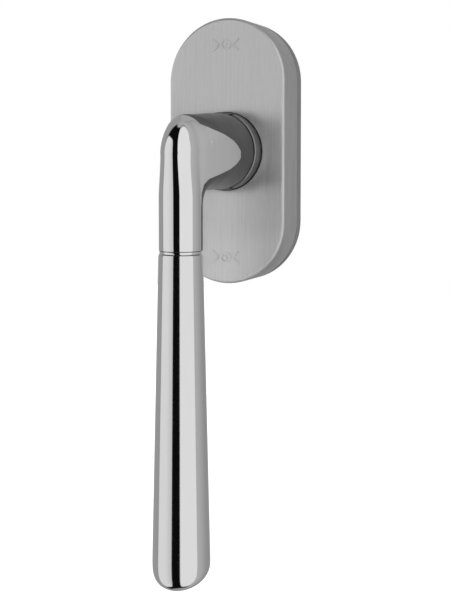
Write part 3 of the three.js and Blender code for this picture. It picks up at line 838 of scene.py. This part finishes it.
def lower_grip():
    """The round grip: it widens evenly down to a full dome, which hangs lower on the room's side."""
    tree = Builder(
        "lower grip",
        Top=GRIP_TOP * MM,
        Tip=GRIP_TIP * MM,
        Dome=5.2 * MM,
        Top_radius=5.4 * MM,
        End_radius=7.1 * MM,
        Depth=GRIP_DEPTH * MM,
        Tip_slope=0.32,
    )
    line = tree.shape("GeometryNodeCurvePrimitiveLine", {"Start": (0.0, 0.0, 0.0), "End": (0.0, 0.0, -1.0)})
    path = tree.shape("GeometryNodeResampleCurve", {"Curve": line, "Count": 240})
    along = Value(tree, tree.add("GeometryNodeSplineParameter").outputs["Factor"])
    length = tree["Top"] - tree["Tip"]
    drop = (along * (math.pi / 2)).math("SINE") * length
    height = tree["Top"] - drop
    dome_top = tree["Tip"] + tree["Dome"]
    widen = drop / (length - tree["Dome"])
    even = tree["Top_radius"] + (tree["End_radius"] - tree["Top_radius"]) * widen.math("MINIMUM", 1.0)
    into_dome = ((dome_top - height) / tree["Dome"]).math("MAXIMUM", 0.0).math("MINIMUM", 1.0)
    fullness = 3.6
    domed = (1.0 - into_dome**fullness).math("MAXIMUM", 0.0) ** (1 / fullness)
    rim = (drop / (0.12 * MM)).math("MINIMUM", 1.0)
    rim_round = 1.0 - 0.02 * (1.0 - rim) * (1.0 - rim)
    radius = (even * domed * rim_round).math("MAXIMUM", 0.00001)
    sized = tree.shape("GeometryNodeSetCurveRadius", {"Curve": path, "Radius": radius})
    lowered = {"Geometry": sized, "Position": tree.vector(0.0, 0.0, height)}
    straight = tree.shape("GeometryNodeSetPosition", lowered)
    outline = tree.shape("GeometryNodeCurvePrimitiveCircle", {"Resolution": 96, "Radius": 1.0})
    stored = tree.add("GeometryNodeInputRadius").outputs[0]
    skin_sockets = {"Curve": straight, "Profile Curve": outline, "Scale": stored, "Fill Caps": True}
    skin = tree.shape("GeometryNodeCurveToMesh", skin_sockets)
    x, y, z = tree.parts(tree.add("GeometryNodeInputPosition").outputs[0])
    below = ((dome_top - z) / tree["Dome"]).math("MAXIMUM", 0.0).math("MINIMUM", 1.0)
    place = tree.vector(x, y - tree["Depth"], z + tree["Tip_slope"] * below * y)
    hung = tree.shape("GeometryNodeSetPosition", {"Geometry": skin, "Position": place})
    grip = tree.piece("lower_grip", hung, "polished_grip")
    smooth(grip, 40.0)
    return grip


def press_marks():
    """At each end of the cover, a raised ring with a dot between two arrowheads."""
    tree = Builder(
        "press marks",
        Ring_radius=1.25 * MM,
        Dot_radius=0.5 * MM,
        Stroke=0.5 * MM,
        Arm=2.3 * MM,
        Tip=2.0 * MM,
        Height=MARK_HEIGHT * MM,
        Thickness=0.5 * MM,
        Front=(ROSE_FRONT + 0.22) * MM,
    )
    ring_sockets = {"Resolution": 48, "Radius": tree["Ring_radius"]}
    ring_path = tree.shape("GeometryNodeCurvePrimitiveCircle", ring_sockets)
    section = {"Width": tree["Stroke"], "Height": tree["Thickness"]}
    stroke = tree.shape("GeometryNodeCurvePrimitiveQuadrilateral", section)
    ring = tree.shape("GeometryNodeCurveToMesh", {"Curve": ring_path, "Profile Curve": stroke})
    dot_sockets = {"Vertices": 24, "Radius": tree["Dot_radius"], "Depth": tree["Thickness"]}
    dot = tree.shape("GeometryNodeMeshCylinder", dot_sockets)
    arm_size = tree.vector(tree["Stroke"], tree["Arm"], tree["Thickness"])
    arm = tree.shape("GeometryNodeMeshCube", {"Size": arm_size})
    lean = math.radians(42)
    arms = []
    for side in (1, -1):
        for hand in (1, -1):
            out = tree["Arm"] * 0.5 * math.sin(lean) * hand
            up = (tree["Tip"] + tree["Arm"] * 0.5 * math.cos(lean)) * side
            arms.append(tree.moved(arm, tree.vector(out, up, 0.0), (0.0, 0.0, -lean * hand * side)))
    mark = tree.moved(tree.joined(ring, dot, *arms), rotation=(math.pi / 2, math.pi / 2, 0.0))
    places = {
        "Count": 2,
        "Start Location": tree.vector(0.0, tree["Thickness"] * 0.5 - tree["Front"], -tree["Height"]),
        "Offset": tree.vector(0.0, 0.0, tree["Height"] * 2.0),
    }
    ends = tree.shape("GeometryNodeMeshLine", places)
    marks = tree.piece("press_marks", tree.repeated(mark, ends), "satin_chrome")
    return bevelled(marks, 0.06, 2, 40.0)


def plate_rivets():
    """The four rivets that hold the retaining plate."""
    tree = Builder(
        "plate rivets",
        Width=2 * RIVET_ACROSS * MM,
        Height=2 * RIVET_HEIGHT * MM,
        Shank_radius=1.1 * MM,
        Head_radius=1.8 * MM,
        Head_front=0.6 * MM,
        Head_height=0.42 * MM,
        Shank_front=5.6 * MM,
    )
    grid = {"Size X": tree["Width"], "Size Y": tree["Height"], "Vertices X": 2, "Vertices Y": 2}
    corners = tree.shape("GeometryNodeMeshGrid", grid)
    shank_length = tree["Shank_front"] - tree["Head_front"] * 0.5
    shank_sockets = {"Vertices": 32, "Radius": tree["Shank_radius"], "Depth": shank_length}
    shank = tree.shape("GeometryNodeMeshCylinder", shank_sockets)
    shank = tree.moved(shank, tree.vector(0.0, 0.0, tree["Shank_front"] - shank_length * 0.5))
    head_sockets = {
        "Vertices": 32,
        "Radius Top": tree["Head_radius"],
        "Radius Bottom": tree["Head_radius"] * 0.7,
        "Depth": tree["Head_height"],
    }
    head = tree.shape("GeometryNodeMeshCone", head_sockets)
    head = tree.moved(head, tree.vector(0.0, 0.0, tree["Head_front"] - tree["Head_height"]))
    rivets = tree.moved(tree.repeated(tree.joined(shank, head), corners), rotation=UPRIGHT)
    piece = tree.piece("plate_rivets", rivets, "plain_steel")
    return bevelled(piece, 0.08, 2, 40.0)


def fixing_screws():
    """Two countersunk screws with their threads and cross recesses."""
    tree = Builder(
        "fixing screws",
        Spacing=2 * SCREW_HEIGHT * MM,
        Reach=SCREW_REACH * MM,
        Head_front=9.3 * MM,
        Head_radius=4.6 * MM,
        Core_radius=2.15 * MM,
        Thread_radius=0.32 * MM,
        Pitch=0.8 * MM,
        Recess_span=4.6 * MM,
        Recess_slot=1.1 * MM,
    )
    cone = tree["Head_radius"] - tree["Core_radius"]
    core_length = tree["Reach"] + tree["Head_front"] - cone
    core_sockets = {"Vertices": 32, "Radius": tree["Core_radius"], "Depth": core_length}
    core = tree.shape("GeometryNodeMeshCylinder", core_sockets)
    core = tree.moved(core, tree.vector(0.0, 0.0, core_length * 0.5 - tree["Reach"]))
    head_height = cone * 1.02
    head_sockets = {
        "Vertices": 48,
        "Radius Top": tree["Head_radius"],
        "Radius Bottom": tree["Core_radius"] * 0.9,
        "Depth": head_height,
    }
    head = tree.shape("GeometryNodeMeshCone", head_sockets)
    head = tree.moved(head, tree.vector(0.0, 0.0, tree["Head_front"] - head_height))
    slots = []
    for long_way in (0.0, math.pi / 2):
        size = tree.vector(tree["Recess_span"], tree["Recess_slot"], tree["Recess_span"])
        slot = tree.shape("GeometryNodeMeshCube", {"Size": size})
        slots.append(tree.moved(slot, tree.vector(0.0, 0.0, tree["Head_front"]), (0.0, 0.0, long_way)))
    cutter = tree.add("GeometryNodeMeshBoolean", {"operation": "DIFFERENCE"})
    tree.put(cutter.inputs["Mesh 1"], head)
    for slot in slots:
        tree.tree.links.new(slot, cutter.inputs["Mesh 2"])
    thread_length = tree["Reach"] + 5.0 * MM
    coil_sockets = {
        "Resolution": 20,
        "Rotations": thread_length / tree["Pitch"],
        "Start Radius": tree["Core_radius"],
        "End Radius": tree["Core_radius"],
        "Height": thread_length,
    }
    coil = tree.shape("GeometryNodeCurveSpiral", coil_sockets)
    ridge = tree.shape("GeometryNodeCurvePrimitiveCircle", {"Resolution": 4, "Radius": tree["Thread_radius"]})
    thread_sockets = {"Curve": coil, "Profile Curve": ridge, "Fill Caps": True}
    thread = tree.shape("GeometryNodeCurveToMesh", thread_sockets)
    thread = tree.moved(thread, tree.vector(0.0, 0.0, -tree["Reach"] + tree["Thread_radius"]))
    screw = tree.moved(tree.joined(core, cutter.outputs[0], thread), rotation=UPRIGHT)
    places = {
        "Count": 2,
        "Start Location": tree.vector(0.0, 0.0, tree["Spacing"] * -0.5),
        "Offset": tree.vector(0.0, 0.0, tree["Spacing"]),
    }
    ends = tree.shape("GeometryNodeMeshLine", places)
    piece = tree.piece("fixing_screws", tree.repeated(screw, ends), "plain_steel")
    smooth(piece, 35.0)
    return piece


def square_spindle():
    """The 7 mm square bar, with broken edges and tapered ends."""
    half = SPINDLE_HALF

    def square(size, depth):
        return [(size, depth, size), (-size, depth, size), (-size, depth, -size), (size, depth, -size)]

    rings = [square(half - 0.8, -35.0), square(half, -33.6), square(half, 26.4), square(half - 0.5, 27.0)]
    bar = loft("square_spindle", rings, ["plain_steel"])
    return bevelled(bar, 0.35, 3, 40.0)


# Assembly --------------------------------------------------------------------------------------------

PIECES = [
    (rose_cover, "cover", "satin_chrome", ["cover_shell"]),
    (press_marks, "cover", "satin_chrome", []),
    (base_casting, "base", "zinc_casting", ["base_plate"]),
    (neck_bush, "base", "collar_metal", ["neck_collar"]),
    (plate_rivets, "base", "plain_steel", [f"plate_rivet_{number}" for number in (1, 2, 3, 4)]),
    (fixing_screws, "base", "plain_steel", ["fixing_screw_upper", "fixing_screw_lower"]),
    (neck_and_elbow, "handle", "mirror_chrome", ["neck_casting"]),
    (groove_ring, "handle", "mirror_chrome", ["spacer_ring"]),
    (lower_grip, "handle", "polished_grip", ["grip"]),
    (square_spindle, "handle", "plain_steel", ["spindle"]),
]

replaced = set()
for make, body, slot, nodes in PIECES:
    piece = make()
    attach(piece, body)
    if nodes:
        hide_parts(*nodes)
        replaced |= set(nodes)

for subpart in frame["record"]["subparts"]:
    if subpart["node"] not in replaced:
        node = frame["nodes"][subpart["node"]]
        node.data.materials.clear()
        node.data.materials.append(FINISHES[subpart["material_slot"]])


# Studio ----------------------------------------------------------------------------------------------


# Brightness of each part of the surroundings.
RIGHT_BOX_LIGHT = 0.875
LEFT_BOX_LIGHT = 0.81
LEFT_BOX_INNER = 0.80  # share of that light left at the box's inner edge
RIGHT_SIDE_LIGHT = (0.50, 0.32)  # beside the box, then behind the handle
LEFT_SIDE_LIGHT = 0.36
HIGH_BACK_LIGHT = 0.42
CEILING_LIGHT = 0.42
GROUND_LIGHT = 0.34
GAP_LIGHT = 0.004


def softbox(world, azimuth, elevation, middle, half_size, softness):
    """1 inside a rounded rectangle of directions, in degrees, and 0 outside it."""
    across = ((azimuth - middle[0]) / half_size[0]).math("ABSOLUTE")
    up = ((elevation - middle[1]) / half_size[1]).math("ABSOLUTE")
    reach = (across**4.0 + up**4.0) ** 0.25
    return world.ease(reach, 1.0 - softness, 1.0 + softness, 1.0, 0.0)


def studio_world():
    """Two tall softboxes with a dark gap between them, greyer sides and back, and a grey ceiling and ground.
    The camera itself sees plain white."""
    setting = bpy.data.worlds.new("studio")
    setting.use_nodes = True
    setting.node_tree.nodes.clear()
    world = Nodes(setting.node_tree)
    x, y, z = world.parts(world.add("ShaderNodeTexCoord").outputs["Generated"])
    azimuth = world.math("ARCTAN2", x, -y) * (180 / math.pi)
    elevation = z.math("ARCSINE") * (180 / math.pi)
    right_box = softbox(world, azimuth, elevation, (57.0, 5.0), (36.0, 67.0), 0.05)
    left_box = softbox(world, azimuth, elevation, (-46.0, -10.0), (33.0, 46.0), 0.05)
    left_fall = world.ease(azimuth, -45.0, -12.0, 1.0, LEFT_BOX_INNER)
    right_side = world.ease(azimuth, 78.0, 96.0)
    left_side = world.ease(azimuth, -84.0, -70.0, 1.0, 0.0)
    ceiling = world.ease(elevation, 70.0, 78.0)
    ground = world.ease(elevation, -78.0, -66.0, 1.0, 0.0)
    sides = right_side * world.ease(azimuth, 92.0, 160.0, *RIGHT_SIDE_LIGHT) + left_side * LEFT_SIDE_LIGHT
    light = sides.math("MAXIMUM", right_box * RIGHT_BOX_LIGHT)
    light = light.math("MAXIMUM", left_box * left_fall * LEFT_BOX_LIGHT)
    high_back = world.ease(azimuth.math("ABSOLUTE"), 120.0, 150.0) * world.ease(elevation, 12.0, 32.0)
    for part in (high_back * HIGH_BACK_LIGHT, ceiling * CEILING_LIGHT, ground * GROUND_LIGHT, GAP_LIGHT):
        light = light.math("MAXIMUM", part)
    back = world.add("ShaderNodeBackground", None, {"Color": (1.0, 1.0, 1.0, 1.0), "Strength": light})
    white = world.add("ShaderNodeBackground", None, {"Color": (1.0, 1.0, 1.0, 1.0), "Strength": 1.0})
    seen = world.add("ShaderNodeLightPath").outputs["Is Camera Ray"]
    mix = world.add("ShaderNodeMixShader", None, {0: seen, 1: back.outputs[0], 2: white.outputs[0]})
    world.add("ShaderNodeOutputWorld", None, {"Surface": mix.outputs[0]})
    bpy.context.scene.world = setting


def studio_floor():
    """A plain white floor well below the handle."""
    finish = Finish("white_floor", 0.0)
    cloud = finish.noise(finish.place(), 1.5, 1.0)
    finish.color(finish.tint(cloud, 0.95, 0.97))
    finish.shader.inputs["Roughness"].default_value = 0.9
    finish.shader.inputs["Emission Color"].default_value = (1.0, 1.0, 1.0, 1.0)
    finish.shader.inputs["Emission Strength"].default_value = 0.9
    mesh = bpy.data.meshes.new("floor")
    half, level = 3.0, -0.45
    corners = [(-half, -half, level), (half, -half, level), (half, half, level), (-half, half, level)]
    mesh.from_pydata(corners, [], [(0, 1, 2, 3)])
    mesh.materials.append(finish.material)
    floor = new_object("floor", mesh)
    floor.visible_glossy = False
    floor.visible_diffuse = False


def studio_camera():
    data = bpy.data.cameras.new("camera")
    data.sensor_width = 36.0
    data.lens = 61.25
    data.shift_y = -0.15
    camera = bpy.data.objects.new("camera", data)
    bpy.context.scene.collection.objects.link(camera)
    camera.location = (0.10974, -0.25936, -0.00254)
    turned_right, looking_down = 24.036, 2.746
    camera.rotation_euler = (math.radians(90.0 - looking_down), 0.0, math.radians(turned_right))
    bpy.context.scene.camera = camera


studio_world()
studio_floor()
studio_camera()
bpy.context.scene.view_settings.view_transform = "Standard"
